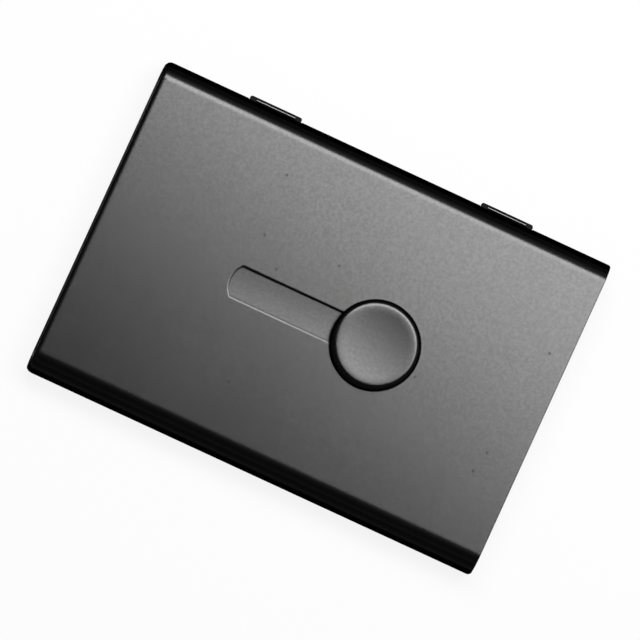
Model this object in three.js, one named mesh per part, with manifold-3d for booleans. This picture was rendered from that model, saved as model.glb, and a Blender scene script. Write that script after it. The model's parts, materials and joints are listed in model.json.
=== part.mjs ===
// A slim aluminium business card case. Two pressed shells with half-round long edges are hinged
// along one long side, and each is bonded over a moulded frame. A dished thumb disc on the front
// moves a plate under the slot, whose pusher slides the cards out at the open left end.
//
// X runs along the case, towards the closed end. Y runs across it, towards the hinge. Z is up, and
// the origin is the centre of the flat back face that the case rests on. Inside the case group,
// Z = 0 is the parting plane between the two halves.
import * as THREE from "three";
import { mergeVertices } from "three/addons/utils/BufferGeometryUtils.js";
import Module from "manifold-3d";

const wasm = await Module();
wasm.setup();

// Case, in millimetres like every length here
const CASE_LENGTH = 93.5;
const CASE_WIDTH = 65.2;
const CASE_HEIGHT = 9;
const CORNER_RADIUS = 0.5;
const SHEET = 0.7;
const PARTING_GAP = 0.1;
const BOND_GAP = 0.05;

// Moulded frames
const FRAME_RECESS = 0.3;
const END_WALL = 0.8;
const LATCH_SIDE_WALL = 4;
const HINGE_SIDE_WALL = 5.05;
const TRAY_FLOOR = 0.7;
const CHANNEL_FLOOR = 0.6;
const SILL_HEIGHT = 0.75;

// Latch tongue on the cover's frame, and its socket in the tray
const TONGUE_WIDTH = 12;
const TONGUE_REACH = 1.35;
const TONGUE_CLEARANCE = 0.15;
const TONGUE_WALL_SHARE = 0.5;

// Hinges
const HINGE_SPACING = 48.8;
const HINGE_OFFSET = 0.35;
const HINGE_STANDOFF = 0.2;
const KNUCKLE_LENGTH = 10.8;
const KNUCKLE_WALL = 0.21;
const KNUCKLE_CLEARANCE = 0.14;
const KNUCKLE_END_PLAY = 0.1;
const EAR_LENGTH = 1.35;
const EAR_ARM_HEIGHT = 0.9;
const HOOK_OPENS_AT = THREE.MathUtils.degToRad(20);
const HOOK_STARTS_AT = THREE.MathUtils.degToRad(170);
const BOSS_HEIGHT = 1.35;
const BOSS_RECESS = 0.1;
const NOTCH_CLEARANCE = 0.15;
const PIN_RADIUS = 0.3;
const PIN_FIT = 0.02;
const PIN_PLAY = 0.05;
const PIN_END_INSET = 0.1;

// Slot in the front shell
const SLOT_LENGTH = 37.2;
const SLOT_WIDTH = 6.1;
const SLOT_END_BULGE = 1.19;

// Push plate under the slot, and the stem that joins it to the disc
const SLIDE_GAP = 0.1;
const PLATE_WIDTH = 25;
const PLATE_THICKNESS = 0.55;
const PLATE_SIDE_PLAY = 0.15;
const PLATE_SLOT_COVER = 1;
const PLATE_END_PLAY = 0.25;
const STEM_LENGTH = 13.6;
const STEM_SIDE_PLAY = 0.15;
const STEM_STOP_GAP = 0.1;
const SEAT_GAP = 0.05;

// Thumb disc and its glide ring
const DISC_RADIUS = 8.8;
const DISC_LIFT = 0.2;
const DISC_WALL = 0.6;
const RIM_ROUND = 1.3;
const DISH_DEPTH = 0.15;
const RING_RADIUS_SHARE = 0.783;
const RING_WIDTH = 1.3;
const RING_GROOVE_DEPTH = 0.45;
const RING_LIFT = 0.03;
const HUB_SHARE = 0.6;

// Pusher
const PUSHER_WIDTH = 20;
const PUSHER_WALL = 1;
const PUSHER_FLANGE_LENGTH = 7.4;
const PUSHER_FLANGE = 0.6;
const PUSHER_TOE_GAP = 0.45;
const WINDOW_CLEARANCE = 0.2;

// Screws and rivets
const SCREW_RADIUS = 0.6;
const SCREW_HEAD_RADIUS = 1.05;
const SCREW_CONE_SHARE = 0.75;
const SCREW_SPACING_SHARE = 0.514;
const SCREW_GRIP_SHARE = 0.5;
const SCREW_SLOT_WIDTH = 0.25;
const SCREW_SLOT_SHARE = 0.5;
const PUSHER_RIVET_RADIUS = 0.6;
const PUSHER_RIVET_HEAD_RADIUS = 1.1;
const PUSHER_RIVET_CONE_SHARE = 0.3;
const PUSHER_RIVET_SPACING_SHARE = 0.6;
const LEAF_RIVET_RADIUS = 0.5;
const LEAF_RIVET_HEAD_RADIUS = 0.9;
const LEAF_RIVET_HEAD_HEIGHT = 0.3;
const LEAF_RIVET_CONE_SHARE = 0.5;
const LEAF_RIVET_SPACING_SHARE = 0.54;
const HEAD_LAND = 0.05;
const FASTENER_CLEARANCE = 0.05;

// Leaf springs under the cards
const LEAF_LENGTH = 60;
const LEAF_WIDTH = 7;
const LEAF_THICKNESS = 0.2;
const LEAF_TAB = 7;
const LEAF_TOE = 2;
const LEAF_SIDE_INSET = 2.5;
const LEAF_MOUTH_INSET = 12.45;
const LEAF_CREST_GAP = 0.1;

// Brake springs beside the push plate
const BRAKE_LENGTH = 12;
const BRAKE_TAB = 1;
const BRAKE_THICKNESS = 0.15;
const BRAKE_POCKET_DEPTH = 1;
const BRAKE_CREST_GAP = 0.03;
const BRAKE_END_PLAY = 0.2;

// How far a cutting shape runs past the face that it opens
const OVERRUN = 0.5;

// Facets of each kind of curve
const EDGE_FACETS = 12;
const CORNER_FACETS = 4;
const TURNED_FACETS = 20;
const DISC_FACETS = 48;
const RIM_FACETS = 8;
const DISH_FACETS = 5;
const DOME_FACETS = 4;
const BOW_FACETS = 20;

// Levels above and below the parting plane
const halfHeight = CASE_HEIGHT / 2;
const rimLevel = PARTING_GAP / 2;
const roof = halfHeight - SHEET;
const frameFace = roof - BOND_GAP;
const plateTop = roof - SLIDE_GAP;
const plateBottom = plateTop - PLATE_THICKNESS;
const channelTop = plateBottom - SLIDE_GAP;
const pocketRoof = channelTop - CHANNEL_FLOOR;
const pocketFloor = TRAY_FLOOR - frameFace;
const discBase = halfHeight + DISC_LIFT;
const flangeTop = plateBottom - SEAT_GAP;
const flangeBottom = flangeTop - PUSHER_FLANGE;
const leafBase = pocketFloor + SEAT_GAP;

// Places along and across the case
const halfLength = CASE_LENGTH / 2;
const halfWidth = CASE_WIDTH / 2;
const frameEnd = halfLength - FRAME_RECESS;
const innerEnd = frameEnd - END_WALL;
const arcCentre = halfWidth - halfHeight;
const pocketAcross = [LATCH_SIDE_WALL - halfWidth, halfWidth - HINGE_SIDE_WALL];
const slotAxis = (pocketAcross[0] + pocketAcross[1]) / 2;
const hingeAxis = halfWidth + HINGE_STANDOFF;
const hingeCentres = {
  left: HINGE_OFFSET - HINGE_SPACING / 2,
  right: HINGE_OFFSET + HINGE_SPACING / 2,
};
const knuckleRadius = PIN_RADIUS + PIN_PLAY + KNUCKLE_WALL;
const discX = SLOT_LENGTH / 2 - STEM_STOP_GAP - STEM_LENGTH / 2;
const travel = SLOT_LENGTH - STEM_LENGTH - 2 * STEM_STOP_GAP;
const plateEnd = innerEnd - PLATE_END_PLAY;
const plateHalfWidth = PLATE_WIDTH / 2;
const channelHalfWidth = plateHalfWidth + PLATE_SIDE_PLAY;
const leafStart = LEAF_MOUTH_INSET - frameEnd;
const laneInset = LEAF_SIDE_INSET + LEAF_WIDTH / 2;
const lanes = { hinge_side: pocketAcross[1] - laneInset, latch_side: pocketAcross[0] + laneInset };

// Closed shapes made with three.js, each a geometry in the frame of its group

function extrusion(outline, length, facets) {
  return new THREE.ExtrudeGeometry(outline, {
    depth: length,
    bevelEnabled: false,
    curveSegments: facets / 2,
  });
}

// A block between two values on each axis
function block([x0, x1], [y0, y1], [z0, z1]) {
  const geometry = new THREE.BoxGeometry(x1 - x0, y1 - y0, z1 - z0);
  return geometry.translate((x0 + x1) / 2, (y0 + y1) / 2, (z0 + z1) / 2);
}

// A section in Y and Z swept along X
function sweptAlongX(section, [x0, x1], facets = EDGE_FACETS) {
  const turn = new THREE.Matrix4().makeBasis(
    new THREE.Vector3(0, 1, 0),
    new THREE.Vector3(0, 0, 1),
    new THREE.Vector3(1, 0, 0),
  );
  return extrusion(section, x1 - x0, facets).applyMatrix4(turn).translate(x0, 0, 0);
}

// A profile in X and Z swept across Y
function sweptAlongY(profile, [y0, y1], facets = EDGE_FACETS) {
  return extrusion(profile, y1 - y0, facets).rotateX(Math.PI / 2).translate(0, y1, 0);
}

// An outline in X and Y swept up Z
function sweptAlongZ(outline, [z0, z1], facets = EDGE_FACETS) {
  return extrusion(outline, z1 - z0, facets).translate(0, 0, z0);
}

// A rod along X on the hinge axis
function hingeRod(radius, [x0, x1]) {
  const geometry = new THREE.CylinderGeometry(radius, radius, x1 - x0, TURNED_FACETS);
  return geometry.rotateZ(-Math.PI / 2).translate((x0 + x1) / 2, hingeAxis, 0);
}

// A piece turned about Z from [radius, level] pairs that go up its outside
function turned(profile, facets = TURNED_FACETS) {
  const points = profile.map(([radius, level]) => new THREE.Vector2(radius, level));
  return new THREE.LatheGeometry(points, facets).rotateX(Math.PI / 2);
}

// Joins and cuts

function toSolid(geometry) {
  const bare = geometry.clone();
  bare.deleteAttribute("normal");
  bare.deleteAttribute("uv");
  const merged = mergeVertices(bare);
  return new wasm.Manifold(
    new wasm.Mesh({
      numProp: 3,
      vertProperties: merged.attributes.position.array,
      triVerts: new Uint32Array(merged.index.array),
    }),
  );
}

function toGeometry(solid) {
  const { vertProperties, triVerts } = solid.getMesh();
  const indexed = new THREE.BufferGeometry();
  indexed.setAttribute("position", new THREE.BufferAttribute(vertProperties, 3));
  indexed.setIndex(new THREE.BufferAttribute(triVerts, 1));
  const geometry = indexed.toNonIndexed();
  geometry.computeVertexNormals();
  return geometry;
}

function joined(first, ...others) {
  return toGeometry(others.reduce((whole, other) => whole.add(toSolid(other)), toSolid(first)));
}

function cut(body, ...tools) {
  return toGeometry(tools.reduce((whole, tool) => whole.subtract(toSolid(tool)), toSolid(body)));
}

function common(first, second) {
  return toGeometry(toSolid(first).intersect(toSolid(second)));
}

// Sections and outlines

// An arc about a point of the section, from one angle to another
function arc(path, y, radius, from, to) {
  path.absarc(y, 0, radius, from, to, to < from);
}

// The angle at which a round long edge of this radius reaches its rim
function rimAngle(radius) {
  return Math.asin(rimLevel / radius);
}

// Half of the case's section, set in from its outside: a quarter round at each side
function halfSection(inset) {
  const radius = halfHeight - inset;
  const section = new THREE.Shape();
  arc(section, arcCentre, radius, rimAngle(radius), Math.PI / 2);
  arc(section, -arcCentre, radius, Math.PI / 2, Math.PI - rimAngle(radius));
  section.closePath();
  return section;
}

// The bent sheet of one shell
function sheetSection() {
  const section = new THREE.Shape();
  arc(section, arcCentre, halfHeight, rimAngle(halfHeight), Math.PI / 2);
  arc(section, -arcCentre, halfHeight, Math.PI / 2, Math.PI - rimAngle(halfHeight));
  arc(section, -arcCentre, roof, Math.PI - rimAngle(roof), Math.PI / 2);
  arc(section, arcCentre, roof, Math.PI / 2, rimAngle(roof));
  section.closePath();
  return section;
}

function roundedRectangle(length, width, radius) {
  const x = length / 2 - radius;
  const y = width / 2 - radius;
  const outline = new THREE.Shape();
  outline.absarc(x, y, radius, 0, Math.PI / 2, false);
  outline.absarc(-x, y, radius, Math.PI / 2, Math.PI, false);
  outline.absarc(-x, -y, radius, Math.PI, Math.PI * 1.5, false);
  outline.absarc(x, -y, radius, Math.PI * 1.5, Math.PI * 2, false);
  outline.closePath();
  return outline;
}

// A straight-sided slot along X whose ends bulge out by a given depth
function slotOutline(length, width, bulge) {
  const radius = ((width / 2) ** 2 + bulge ** 2) / (2 * bulge);
  const centre = length / 2 - radius;
  const spread = Math.asin(width / 2 / radius);
  const outline = new THREE.Shape();
  outline.absarc(centre, 0, radius, -spread, spread, false);
  outline.absarc(-centre, 0, radius, Math.PI - spread, Math.PI + spread, false);
  outline.closePath();
  return outline;
}

// The edge of a strip that lies flat at both ends and bows up between them
function bowedStrip(length, firstTab, lastTab, rise, thickness) {
  const span = length - firstTab - lastTab;
  const line = [[0, 0]];
  for (let i = 0; i <= BOW_FACETS; i += 1) {
    const share = i / BOW_FACETS;
    line.push([firstTab + span * share, (rise * (1 - Math.cos(2 * Math.PI * share))) / 2]);
  }
  line.push([length, 0]);
  const under = line.map(([x, lift]) => new THREE.Vector2(x, lift));
  const over = line.map(([x, lift]) => new THREE.Vector2(x, lift + thickness)).reverse();
  return new THREE.Shape([...under, ...over]);
}

// The upper half of the case's form, set in from its outside, or its lower half
function halfForm(inset, along, upper) {
  const form = sweptAlongX(halfSection(inset), along);
  return upper ? form : form.rotateX(Math.PI);
}

// Two values at equal distances from a centre
function around(centre, reach) {
  return [centre - reach, centre + reach];
}

// Screws and rivets, each also the shape of its own hole when it is given a clearance

function fastenerHole(fastener) {
  return fastener(FASTENER_CLEARANCE, OVERRUN);
}

// A countersunk screw up through the push plate and the stem into the disc
function slideScrewForm(clearance = 0, overrun = 0) {
  const head = SCREW_HEAD_RADIUS + clearance;
  const shank = SCREW_RADIUS + clearance;
  const cone = SCREW_CONE_SHARE * PLATE_THICKNESS;
  const discDepth = DISC_WALL + RIM_ROUND - DISH_DEPTH;
  const tip = discBase + SCREW_GRIP_SHARE * discDepth + clearance;
  return turned([
    [0, plateBottom - overrun],
    [head, plateBottom - overrun],
    [head, plateBottom + HEAD_LAND],
    [shank, plateBottom + HEAD_LAND + cone],
    [shank, tip],
    [0, tip],
  ]);
}

// A rivet set flush in the push plate and in the pusher's flange
function pusherRivetForm(clearance = 0, overrun = 0) {
  const head = PUSHER_RIVET_HEAD_RADIUS + clearance;
  const shank = PUSHER_RIVET_RADIUS + clearance;
  const cone = PUSHER_RIVET_CONE_SHARE * (plateTop - flangeBottom);
  return turned([
    [0, flangeBottom - overrun],
    [head, flangeBottom - overrun],
    [head, flangeBottom + HEAD_LAND],
    [shank, flangeBottom + HEAD_LAND + cone],
    [shank, plateTop - HEAD_LAND - cone],
    [head, plateTop - HEAD_LAND],
    [head, plateTop + overrun],
    [0, plateTop + overrun],
  ]);
}

// A domed rivet through a leaf spring's tab, closed flush under the tray floor
function leafRivetForm(clearance = 0, overrun = 0) {
  const head = LEAF_RIVET_HEAD_RADIUS + clearance;
  const shank = LEAF_RIVET_RADIUS + clearance;
  const cone = LEAF_RIVET_CONE_SHARE * TRAY_FLOOR;
  const headBase = leafBase + LEAF_THICKNESS + SEAT_GAP;
  const profile = [
    [0, -frameFace - overrun],
    [head, -frameFace - overrun],
    [head, HEAD_LAND - frameFace],
    [shank, HEAD_LAND - frameFace + cone],
    [shank, headBase],
  ];
  for (let i = 0; i < DOME_FACETS; i += 1) {
    const angle = ((i / DOME_FACETS) * Math.PI) / 2;
    const lift = LEAF_RIVET_HEAD_HEIGHT * Math.sin(angle);
    profile.push([head * Math.cos(angle), headBase + lift]);
  }
  profile.push([0, headBase + LEAF_RIVET_HEAD_HEIGHT]);
  return turned(profile);
}

const screwOffset = (SCREW_SPACING_SHARE * STEM_LENGTH) / 2;
const pusherRivetX = plateEnd - (PUSHER_FLANGE_LENGTH + PUSHER_WALL) / 2 - discX;
const pusherRivetOffset = (PUSHER_RIVET_SPACING_SHARE * PUSHER_WIDTH) / 2;
const leafRivetX = leafStart + LEAF_TAB / 2;
const leafRivetOffset = (LEAF_RIVET_SPACING_SHARE * LEAF_WIDTH) / 2;

// Shells

function pressedShell() {
  const overlong = [-halfLength - OVERRUN, halfLength + OVERRUN];
  const plan = roundedRectangle(CASE_LENGTH, CASE_WIDTH, CORNER_RADIUS);
  return common(
    sweptAlongX(sheetSection(), overlong),
    sweptAlongZ(plan, [0, halfHeight + OVERRUN], CORNER_FACETS),
  );
}

// The windows in the shells' sides that the hinge bosses stand in
function hingeNotches() {
  return Object.values(hingeCentres).map((x) =>
    block(
      around(x, KNUCKLE_LENGTH / 2 + NOTCH_CLEARANCE),
      [arcCentre, halfWidth + OVERRUN],
      around(0, BOSS_HEIGHT + NOTCH_CLEARANCE),
    ),
  );
}

function frontShell() {
  const slot = slotOutline(SLOT_LENGTH, SLOT_WIDTH, SLOT_END_BULGE);
  const slotCutter = sweptAlongZ(slot, [roof - OVERRUN, halfHeight + OVERRUN]);
  return cut(pressedShell(), slotCutter.translate(0, slotAxis, 0), ...hingeNotches());
}

function backShell() {
  return cut(pressedShell().rotateX(Math.PI), ...hingeNotches());
}

// Hinges

// The stretches of each hinge: its whole knuckle, its two ears and the hook between them
const knuckles = Object.values(hingeCentres).map((x) => {
  const half = KNUCKLE_LENGTH / 2;
  return {
    whole: around(x, half),
    ears: [
      [x - half, x - half + EAR_LENGTH],
      [x + half - EAR_LENGTH, x + half],
    ],
    hook: around(x, half - EAR_LENGTH - KNUCKLE_END_PLAY),
  };
});

// A boss of either frame, filling the window in its shell
function hingeBoss(knuckle, upper) {
  const height = upper ? [0, BOSS_HEIGHT] : [-BOSS_HEIGHT, 0];
  const side = block(knuckle.whole, [pocketAcross[1], halfWidth], height);
  return common(halfForm(BOSS_RECESS, knuckle.whole, upper), side);
}

function ear(along) {
  const arm = block(along, [halfWidth - SHEET, hingeAxis], [rimLevel, EAR_ARM_HEIGHT]);
  return joined(hingeRod(knuckleRadius, along), arm);
}

// The open hook that cradles the pin from below and from outside
function hook(along) {
  const section = new THREE.Shape();
  arc(section, hingeAxis, knuckleRadius, HOOK_STARTS_AT, HOOK_OPENS_AT + 2 * Math.PI);
  section.closePath();
  const web = block(along, [halfWidth - SHEET, hingeAxis], [-knuckleRadius, -rimLevel]);
  return joined(sweptAlongX(section, along, TURNED_FACETS), web);
}

function coverHingeParts(knuckle) {
  return [hingeBoss(knuckle, true), ...knuckle.ears.map(ear)];
}

function coverHingeCuts(knuckle) {
  const hookSpace = [knuckle.hook[0] - KNUCKLE_END_PLAY, knuckle.hook[1] + KNUCKLE_END_PLAY];
  const bore = [knuckle.whole[0] - OVERRUN, knuckle.whole[1] + OVERRUN];
  return [
    hingeRod(knuckleRadius + KNUCKLE_CLEARANCE, hookSpace),
    hingeRod(PIN_RADIUS + PIN_FIT, bore),
  ];
}

function trayHingeParts(knuckle) {
  return [hingeBoss(knuckle, false), hook(knuckle.hook)];
}

function trayHingeCuts(knuckle) {
  const earSpaces = [
    [knuckle.whole[0] - OVERRUN, knuckle.hook[0]],
    [knuckle.hook[1], knuckle.whole[1] + OVERRUN],
  ];
  return [
    ...earSpaces.map((along) => hingeRod(knuckleRadius + KNUCKLE_CLEARANCE, along)),
    hingeRod(PIN_RADIUS + PIN_PLAY, knuckle.whole),
  ];
}

function hingePin() {
  const half = KNUCKLE_LENGTH / 2 - PIN_END_INSET;
  return hingeRod(PIN_RADIUS, around(0, half));
}

// Latch

// The tongue stands in the middle of the latch-side wall, as deep as its socket's floor allows
function tongueForm(clearance) {
  const depth = TONGUE_REACH + clearance;
  const wallAtDepth = arcCentre + Math.sqrt(frameFace ** 2 - depth ** 2);
  const wall = wallAtDepth + pocketAcross[0];
  const centre = (pocketAcross[0] - wallAtDepth) / 2;
  return block(
    around(0, TONGUE_WIDTH / 2 + clearance),
    around(centre, (TONGUE_WALL_SHARE * wall) / 2 + clearance),
    around(0, depth),
  );
}

// Frames

function coverLiner() {
  const windowStart = plateEnd - PUSHER_FLANGE_LENGTH - travel - WINDOW_CLEARANCE;
  const windowAcross = around(slotAxis, PUSHER_WIDTH / 2 + WINDOW_CLEARANCE);
  const channel = around(slotAxis, channelHalfWidth);
  const brakePockets = around(slotAxis, channelHalfWidth + BRAKE_POCKET_DEPTH);
  const throughFace = [channelTop, frameFace + OVERRUN];
  const body = cut(
    halfForm(SHEET + BOND_GAP, around(0, frameEnd), true),
    block([-frameEnd - OVERRUN, innerEnd], pocketAcross, [0, pocketRoof]),
    block(around(0, innerEnd), channel, throughFace),
    block([windowStart, innerEnd], windowAcross, [pocketRoof - OVERRUN, channelTop + OVERRUN]),
    block(around(0, BRAKE_LENGTH / 2 + BRAKE_END_PLAY), brakePockets, throughFace),
  );
  const whole = joined(body, tongueForm(0), ...knuckles.flatMap(coverHingeParts));
  return cut(whole, ...knuckles.flatMap(coverHingeCuts));
}

function cardTray() {
  const aboveSill = [pocketFloor + SILL_HEIGHT, OVERRUN];
  const rivetHoles = Object.values(lanes).flatMap((lane) =>
    around(lane, leafRivetOffset).map((y) =>
      fastenerHole(leafRivetForm).translate(leafRivetX, y, 0),
    ),
  );
  const body = cut(
    halfForm(SHEET + BOND_GAP, around(0, frameEnd), false),
    block(around(0, innerEnd), pocketAcross, [pocketFloor, OVERRUN]),
    block([-frameEnd - OVERRUN, 0], pocketAcross, aboveSill),
    tongueForm(TONGUE_CLEARANCE),
    ...rivetHoles,
  );
  const whole = joined(body, ...knuckles.flatMap(trayHingeParts));
  return cut(whole, ...knuckles.flatMap(trayHingeCuts));
}

// Springs

// A leaf spring in its own frame: X runs from its riveted end, and Y is its lane's centre line
function leafSpring() {
  const crest = pocketRoof - LEAF_CREST_GAP - LEAF_THICKNESS;
  const strip = bowedStrip(LEAF_LENGTH, LEAF_TAB, LEAF_TOE, crest - leafBase, LEAF_THICKNESS);
  const rivetHoles = around(0, leafRivetOffset).map((y) =>
    fastenerHole(leafRivetForm).translate(LEAF_TAB / 2, y, 0),
  );
  const flat = sweptAlongY(strip, around(0, LEAF_WIDTH / 2)).translate(0, 0, leafBase);
  return cut(flat, ...rivetHoles);
}

// A brake spring that stands on edge in its pocket and bows towards the push plate
function brakeSpring() {
  const back = channelHalfWidth + BRAKE_POCKET_DEPTH - SEAT_GAP;
  const rise = back - BRAKE_THICKNESS - plateHalfWidth - BRAKE_CREST_GAP;
  const strip = bowedStrip(BRAKE_LENGTH, BRAKE_TAB, BRAKE_TAB, rise, BRAKE_THICKNESS);
  const levels = [channelTop + SEAT_GAP, frameFace - SEAT_GAP];
  return sweptAlongZ(strip, levels).translate(-BRAKE_LENGTH / 2, -back, 0);
}

// Slider, in a frame whose origin is under the middle of the disc

function screwHoles() {
  return around(0, screwOffset).map((x) => fastenerHole(slideScrewForm).translate(x, 0, 0));
}

function pusherRivetHoles() {
  return around(0, pusherRivetOffset).map((y) =>
    fastenerHole(pusherRivetForm).translate(pusherRivetX, y, 0),
  );
}

function pushPlate() {
  const along = [-SLOT_LENGTH / 2 - PLATE_SLOT_COVER - discX, plateEnd - discX];
  const plate = block(along, around(0, plateHalfWidth), [plateBottom, plateTop]);
  return cut(plate, ...screwHoles(), ...pusherRivetHoles());
}

function slideStem() {
  const width = SLOT_WIDTH - 2 * STEM_SIDE_PLAY;
  const outline = slotOutline(STEM_LENGTH, width, width / 2);
  const stem = sweptAlongZ(outline, [plateTop + SEAT_GAP, halfHeight - SEAT_GAP]);
  return cut(stem, ...screwHoles());
}

// The radii and the groove that the glide ring and the disc share
const ringRadii = around(RING_RADIUS_SHARE * DISC_RADIUS, RING_WIDTH / 2);
const grooveTop = discBase + RING_GROOVE_DEPTH;

function thumbDisc() {
  const crestRadius = DISC_RADIUS - RIM_ROUND;
  const wallTop = discBase + DISC_WALL;
  const crest = wallTop + RIM_ROUND;
  const hubRadius = HUB_SHARE * DISC_RADIUS;
  const hubBase = halfHeight + SEAT_GAP;
  const profile = [
    [0, hubBase],
    [hubRadius, hubBase],
    [hubRadius, discBase],
    [ringRadii[0] - SEAT_GAP, discBase],
    [ringRadii[0] - SEAT_GAP, grooveTop],
    [ringRadii[1] + SEAT_GAP, grooveTop],
    [ringRadii[1] + SEAT_GAP, discBase],
    [DISC_RADIUS, discBase],
  ];
  for (let i = 0; i <= RIM_FACETS; i += 1) {
    const angle = ((i / RIM_FACETS) * Math.PI) / 2;
    const radius = crestRadius + RIM_ROUND * Math.cos(angle);
    profile.push([radius, wallTop + RIM_ROUND * Math.sin(angle)]);
  }
  for (let i = DISH_FACETS - 1; i >= 0; i -= 1) {
    const share = i / DISH_FACETS;
    profile.push([crestRadius * share, crest - DISH_DEPTH * (1 - share ** 2)]);
  }
  return cut(turned(profile, DISC_FACETS), ...screwHoles());
}

function glideRing() {
  const low = halfHeight + RING_LIFT;
  const high = grooveTop - SEAT_GAP;
  const [inner, outer] = ringRadii;
  const section = [
    [inner, low],
    [outer, low],
    [outer, high],
    [inner, high],
    [inner, low],
  ];
  return turned(section, DISC_FACETS);
}

function slideScrew() {
  const slotDepth = SCREW_SLOT_SHARE * SCREW_CONE_SHARE * PLATE_THICKNESS;
  const driverSlot = block(
    around(0, SCREW_SLOT_WIDTH / 2),
    around(0, SCREW_HEAD_RADIUS + OVERRUN),
    [plateBottom - OVERRUN, plateBottom + slotDepth],
  );
  return cut(slideScrewForm(), driverSlot);
}

// A bent bracket: a flange under the push plate, and a wall down behind the cards
function pusher() {
  const across = around(0, PUSHER_WIDTH / 2);
  const toe = pocketFloor + PUSHER_TOE_GAP;
  const back = plateEnd - discX;
  const flange = block([back - PUSHER_FLANGE_LENGTH, back], across, [flangeBottom, flangeTop]);
  const wall = block([back - PUSHER_WALL, back], across, [toe, flangeTop]);
  return cut(joined(flange, wall), ...pusherRivetHoles());
}

// Finishes
const BLACK_ANODISED = { color: 0x424242, roughness: 0.24, metalness: 1 };
const BLACK_MOULDING = { color: 0x1c1c1d, roughness: 0.5, metalness: 0 };
const SPRING_STEEL = { color: 0xb9bbbd, roughness: 0.3, metalness: 1 };
const BRIGHT_STEEL = { color: 0xd4d5d6, roughness: 0.2, metalness: 1 };
const BLACKENED_STEEL = { color: 0x666667, roughness: 0.3, metalness: 1 };
const PALE_NYLON = { color: 0xd8d6cf, roughness: 0.5, metalness: 0 };

function piece(name, finish, geometry, position = [0, 0, 0], turn = 0) {
  const mesh = new THREE.Mesh(geometry, new THREE.MeshStandardMaterial(finish));
  mesh.name = name;
  mesh.position.set(...position);
  mesh.rotation.z = turn;
  return mesh;
}

function group(...children) {
  return new THREE.Group().add(...children);
}

// The back half, which lies still
const base = group(
  piece("back_shell", BLACK_ANODISED, backShell()),
  piece("card_tray", BLACK_MOULDING, cardTray()),
);
for (const [side, lane] of Object.entries(lanes)) {
  const spring = leafSpring();
  base.add(piece(`leaf_spring_${side}`, SPRING_STEEL, spring, [leafStart, lane, 0]));
  for (const [end, y] of Object.entries({ outer: Math.sign(lane), inner: -Math.sign(lane) })) {
    const place = [leafRivetX, lane + y * leafRivetOffset, 0];
    base.add(piece(`leaf_rivet_${side}_${end}`, BRIGHT_STEEL, leafRivetForm(), place));
  }
}

// The plate, the disc and what they carry, which slide in the cover
const slider = group(
  piece("push_plate", BLACK_ANODISED, pushPlate()),
  piece("slide_stem", BLACK_ANODISED, slideStem()),
  piece("thumb_disc", BLACK_ANODISED, thumbDisc()),
  piece("disc_glide_ring", PALE_NYLON, glideRing()),
  piece("pusher", BLACK_ANODISED, pusher()),
);
for (const [side, sign] of Object.entries({ left: -1, right: 1 })) {
  const place = [sign * screwOffset, 0, 0];
  slider.add(piece(`slide_screw_${side}`, BRIGHT_STEEL, slideScrew(), place));
}
for (const [side, sign] of Object.entries({ hinge_side: 1, latch_side: -1 })) {
  const place = [pusherRivetX, sign * pusherRivetOffset, 0];
  slider.add(piece(`pusher_rivet_${side}`, BRIGHT_STEEL, pusherRivetForm(), place));
}
slider.position.set(discX, slotAxis, 0);

// The front half, which turns about the hinge
const cover = group(
  piece("front_shell", BLACK_ANODISED, frontShell()),
  piece("cover_liner", BLACK_MOULDING, coverLiner()),
  piece("brake_spring_latch_side", SPRING_STEEL, brakeSpring(), [0, slotAxis, 0]),
  piece("brake_spring_hinge_side", SPRING_STEEL, brakeSpring(), [0, slotAxis, 0], Math.PI),
  slider,
);
for (const [side, x] of Object.entries(hingeCentres)) {
  cover.add(piece(`hinge_pin_${side}`, BLACKENED_STEEL, hingePin(), [x, 0, 0]));
}

const cardCase = group(base, cover);
cardCase.position.z = halfHeight;

export default cardCase;
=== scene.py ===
"""The looks of an aluminium business card case with a thumb slide.

Two pressed and anodised shells are bonded over moulded frames and hinged along one long side. A
dished thumb disc over a slot moves a plate whose pusher slides the cards out of the open end.

Lengths are in metres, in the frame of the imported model: X runs along the case towards its closed
end, Y across it towards the hinge, and Z up from the back face that the case rests on.
"""

import json
import logging
import math
from dataclasses import dataclass
from enum import Enum
from typing import Any, Iterable

import bmesh
import bpy
from mathutils import Matrix, Vector

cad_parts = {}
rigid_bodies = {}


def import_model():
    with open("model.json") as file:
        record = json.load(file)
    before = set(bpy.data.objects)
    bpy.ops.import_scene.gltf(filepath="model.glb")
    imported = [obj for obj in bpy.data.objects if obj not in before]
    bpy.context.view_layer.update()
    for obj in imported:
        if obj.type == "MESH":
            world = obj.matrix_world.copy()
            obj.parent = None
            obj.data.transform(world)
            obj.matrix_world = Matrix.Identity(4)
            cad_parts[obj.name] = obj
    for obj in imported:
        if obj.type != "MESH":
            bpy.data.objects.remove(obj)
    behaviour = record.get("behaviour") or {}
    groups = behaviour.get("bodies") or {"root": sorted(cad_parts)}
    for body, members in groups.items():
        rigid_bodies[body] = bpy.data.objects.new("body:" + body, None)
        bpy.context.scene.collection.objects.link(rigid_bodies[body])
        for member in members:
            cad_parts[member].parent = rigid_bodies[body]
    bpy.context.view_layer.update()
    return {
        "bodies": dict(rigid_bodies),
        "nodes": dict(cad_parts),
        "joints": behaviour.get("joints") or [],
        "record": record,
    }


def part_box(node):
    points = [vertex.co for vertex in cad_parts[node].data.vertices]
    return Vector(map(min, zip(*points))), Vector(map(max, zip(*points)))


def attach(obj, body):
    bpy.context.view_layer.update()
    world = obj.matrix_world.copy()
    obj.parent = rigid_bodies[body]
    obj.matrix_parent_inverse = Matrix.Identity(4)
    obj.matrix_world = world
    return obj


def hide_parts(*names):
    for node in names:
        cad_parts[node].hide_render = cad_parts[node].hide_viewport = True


LOG = logging.getLogger("card_case")

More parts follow.
